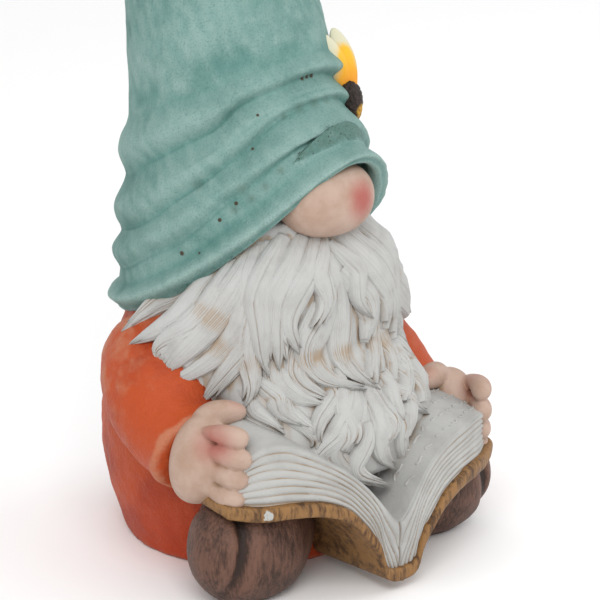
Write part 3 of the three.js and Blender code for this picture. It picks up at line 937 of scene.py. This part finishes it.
# The boots: two fat round boots lying on their sides, toes outwards, that carry the book. They
# are painted dark brown and dry-brushed with a lighter brown.
boot_length = 70
boot_width = 48
boot_height = 52
boot_outward = 46
boot_forward = 60
left_boot_outward = 50.5
left_boot_forward = 52
boot_crease = 4.4
boot_brown = (0.030, 0.013, 0.008)
boot_light = (0.150, 0.072, 0.048)
boot_shade = (0.020, 0.013, 0.010)


def add_boot(mesh, side, outward, forward):
    rows = 84

    def place(bearing, row):
        angle = math.pi * row / rows
        ring = math.sin(angle) ** 0.85 if 0 < row < rows else 0
        across = ring * math.sin(bearing)
        crease = (side * across - 0.66 + 0.16 * math.cos(angle)) / 0.09
        pinch = 1 - boot_crease / boot_height * 2 * math.exp(-crease * crease)
        ball = 1 - 0.22 * smooth(0.1, 1, -side * across)
        point = Vector((
            side * outward + (boot_length / 2 - 0.4) * across,
            -forward - 6 * side * across - boot_width / 2 * ring * math.cos(bearing) * pinch * ball,
            boot_height / 2 - 3 + boot_height / 2 * math.cos(angle) * (pinch * ball if row < rows / 2 else 1),
        ))
        point.z = max(0.05, point.z + 0.6 * noise.noise(point / 11))
        return point

    add_form(mesh, 120, rows, place)


mesh = bmesh.new()
add_boot(mesh, -1, boot_outward, boot_forward)
add_boot(mesh, 1, left_boot_outward, left_boot_forward)

paint = Paint("boot_paint")
strokes = paint.mottle(1.3, detail=6, rough=0.65, at=paint.place(stretch=(1, 1, 5), turn=(0, 0.6, 0)))
cloud = paint.mottle(12)
brushed = (strokes + cloud * 0.6 + paint.relief * 0.3 - 0.3).ramp(0.3, 0.8)
color = paint.blend(brushed, boot_brown, boot_light)
# Painted shade: the hollows and creases, where nearby casting hides them, are darkened to near black.
painted_shade = (paint.shade_and_wash * 1.3 - paint.relief * 0.6 - 0.15).ramp(0, 0.9)
color = paint.blend(painted_shade * 0.9, color, boot_shade)
speck = paint.mottle(1.2, detail=3)
boot_finish = paint.finish(color, strokes * 0.3 + 0.35, strokes + speck * 0.7, 0.5)
boots = make_piece("boots", mesh, boot_finish)


# The bee on the hat's side: a dark grainy body with a gold band, head down, and two folded wings
# painted yellow and orange inside cream rims.
bee_bearing = math.radians(46)
bee_height = 191
bee_length = 20
bee_radius = 5.2
wing_length = 32
wing_width = 10
wing_thickness = 4.5
wing_facing = Vector((math.sin(math.radians(-10)), -math.cos(math.radians(-10)), 0))
bee_black = (0.016, 0.009, 0.007)
bee_brown = (0.070, 0.045, 0.035)
bee_gold = (0.520, 0.270, 0.030)
wing_cream = (0.600, 0.580, 0.420)
wing_yellow = (0.740, 0.430, 0.020)
wing_orange = (0.720, 0.260, 0.012)


def bee_at(out, sideways, up):
    """A point on the hat's side, by distances out of it, sideways and up from the bee's middle."""
    share = hat_share(bee_height + up)
    reach = hat_brim_radius * hat_taper(share)
    turn = bee_bearing + sideways / reach
    reach += out
    return (reach * math.sin(turn), hat_lean * hat_axis(share) - reach * math.cos(turn), bee_height + up)


bee_out = Vector((math.sin(bee_bearing), -math.cos(bee_bearing), 0))
mesh = bmesh.new()
add_sweep(
    mesh, [bee_at(2.5, 0, bee_length * 0.4), bee_at(2.3, 0, 0), bee_at(-0.5, 0, -bee_length * 0.55)], 72, 72,
    bee_out, lambda share: (bee_radius * math.sin(math.pi * share ** 0.95) ** 0.5,) * 2)
for vert in mesh.verts:
    vert.co += vert.normal * 0.55 * MM * noise.noise(vert.co / MM / 1.2)
paint = Paint("bee_paint")
speck = paint.mottle(1.1, detail=3)
band = paint.spot(bee_at(7.5, -2, -bee_length * 0.25), 6).ramp(0.1, 0.4)
color = paint.blend(speck.ramp(0.4, 0.7) * 0.5, bee_black, bee_brown)
color = paint.blend(band * speck.ramp(0.3, 0.5), color, bee_gold)
bee = make_piece("bee_body", mesh, paint.finish(color, speck * 0.3 + 0.35, speck, 0.9))


def wing_size(share):
    rounding = math.sin(math.pi * (0.12 + 0.88 * share) ** 1.15) ** 0.5 if share < 1 else 0
    return wing_width / 2 * rounding, wing_thickness / 2 * rounding


mesh = bmesh.new()
for reaches, slip in (((2, 0.5, -2.5), -6), ((3.5, 4, 2.5), 3)):
    points = [bee_at(reach, slip * i / 2, 3 + wing_length * 0.4 * i) for i, reach in enumerate(reaches)]
    add_sweep(mesh, points, 60, 48, wing_facing, wing_size)
paint = Paint("wing_paint")
streak = paint.mottle(2.2, at=paint.place(stretch=(1, 1, 5)))
heart = paint.spot(bee_at(4, 0, 8), 13) + paint.spot(bee_at(4, 0, 18), 9)
color = paint.blend(paint.spot(bee_at(4, 0, 5), 16), wing_yellow, wing_orange)
color = paint.blend((heart + streak * 0.5 - 0.2).ramp(0.75, 0.15), color, wing_cream)
# Brown where the wings close in on the hat and the body: the wash, and painted shade.
color = paint.blend((paint.shade_and_wash - 0.3).ramp(0, 0.6) * 0.7, color, brown_wash_and_shade)
wings = make_piece("bee_wings", mesh, paint.finish(color, streak * 0.2 + 0.35, streak, 0.5))


# The antiquing and the painted shade: when the colours are dry, a thin brown wash is brushed over
# the whole casting and wiped off. It stays in the hollows, and the cloth rubs the ridges pale. Both
# are measured on the finished forms, for the paints to use, and the measure of the hollows, how
# much of the nearby casting hides each point, also sets the painted shade there.
hair = ("beard", "beard_locks", "moustache")
relief_reach = {"hat": 5.0, "coat": 6.0, "book_pages": 2.0, **dict.fromkeys(hair, 2.6)}
relief_height = {"hat": 0.5, "coat": 0.5, "book_pages": 0.3, **dict.fromkeys(hair, 0.16)}
hollow_reach = 9 * MM
painted = [hat, nose, beard, beard_locks, moustache, coat, *hands, pages, cover, boots, bee, wings]

points = []
corners = []
for piece in painted:
    start = len(points)
    points += [vert.co.copy() for vert in piece.data.vertices]
    corners += [[start + i for i in face.vertices] for face in piece.data.polygons]
whole = BVHTree.FromPolygons(points, corners)

ray_slope = 0.75
for piece in painted:
    data = piece.data
    count = len(data.vertices)
    places = np.empty(count * 3)
    data.vertices.foreach_get("co", places)
    places = places.reshape(count, 3)
    normals = np.empty(count * 3)
    data.vertex_normals.foreach_get("vector", normals)
    normals = normals.reshape(count, 3)
    ends = np.empty(len(data.edges) * 2, dtype=np.int64)
    data.edges.foreach_get("vertices", ends)
    one, other = ends.reshape(-1, 2).T
    reach = relief_reach.get(piece.name, 3.0) * MM
    edge = np.linalg.norm(places[one] - places[other], axis=1).mean()
    links = np.maximum(1, np.bincount(one, minlength=count) + np.bincount(other, minlength=count))
    softened = places
    for _ in range(int(min(60, max(1, (reach / edge) ** 2)))):
        mean = np.stack([
            np.bincount(one, softened[other, i], count) + np.bincount(other, softened[one, i], count)
            for i in range(3)
        ], axis=1) / links[:, None]
        softened = (softened + mean) / 2
    relief = ((places - softened) * normals).sum(axis=1) / (relief_height.get(piece.name, 0.5) * MM)
    # Rays from each point measure how much of the casting near it hides it: painted shade in the hollows,
    # with the wash.
    turns = [i * math.pi / 3 for i in range(6)]
    rays = [
        Vector((ray_slope * math.cos(turn), ray_slope * math.sin(turn), 1)).normalized()
        for turn in turns
    ]
    shade_and_wash = np.zeros(count)
    for i in range(count):
        normal = Vector(normals[i])
        turn = normal.to_track_quat("Z", "Y")
        start = Vector(places[i]) + normal * 0.25 * MM
        shade = 0
        for ray in rays:
            gap = whole.ray_cast(start, turn @ ray, hollow_reach)[3]
            shade += 0 if gap is None else 1 - gap / hollow_reach
        shade_and_wash[i] = shade / len(rays)
    for _ in range(2):
        mean = (np.bincount(one, shade_and_wash[other], count) + np.bincount(other, shade_and_wash[one], count)) / links
        shade_and_wash = (shade_and_wash + mean) / 2
    for name, values in (("relief", np.clip(relief, -2, 2)), ("shade_and_wash", shade_and_wash)):
        data.attributes.new(name, "FLOAT", "POINT").data.foreach_set("value", values)


# The floor, the studio light and the white surround.
floor_size = 8
floor_white = (0.950, 0.950, 0.950)
floor_pale = (0.970, 0.970, 0.970)
mesh = bmesh.new()
bmesh.ops.create_grid(mesh, x_segments=1, y_segments=1, size=floor_size / 2)
floor_data = bpy.data.meshes.new("floor")
mesh.to_mesh(floor_data)
mesh.free()
floor = bpy.data.objects.new("floor", floor_data)
bpy.context.collection.objects.link(floor)
paint = Paint("floor_paint")
cloud = paint.mottle(300)
floor_data.materials.append(
    paint.finish(paint.blend(cloud, floor_white, floor_pale), cloud * 0.1 + 0.8, cloud, 0.1))

for name, place, size, power in (
    ("key_light", (-0.9, -1.1, 1.4), 1.0, 17),
    ("fill_light", (1.3, -0.7, 0.9), 1.2, 6),
):
    light = bpy.data.lights.new(name, "AREA")
    light.energy = power
    light.size = size
    lamp = bpy.data.objects.new(name, light)
    lamp.location = place
    lamp.rotation_euler = (Vector(place) - Vector((0, 0, 0.15))).to_track_quat("Z", "Y").to_euler()
    bpy.context.collection.objects.link(lamp)

world = bpy.data.worlds.new("studio")
world.use_nodes = True
world.node_tree.nodes["Background"].inputs["Color"].default_value = (1, 1, 1, 1)
world.node_tree.nodes["Background"].inputs["Strength"].default_value = 0.85
bpy.context.scene.world = world
bpy.context.scene.view_settings.view_transform = "Standard"
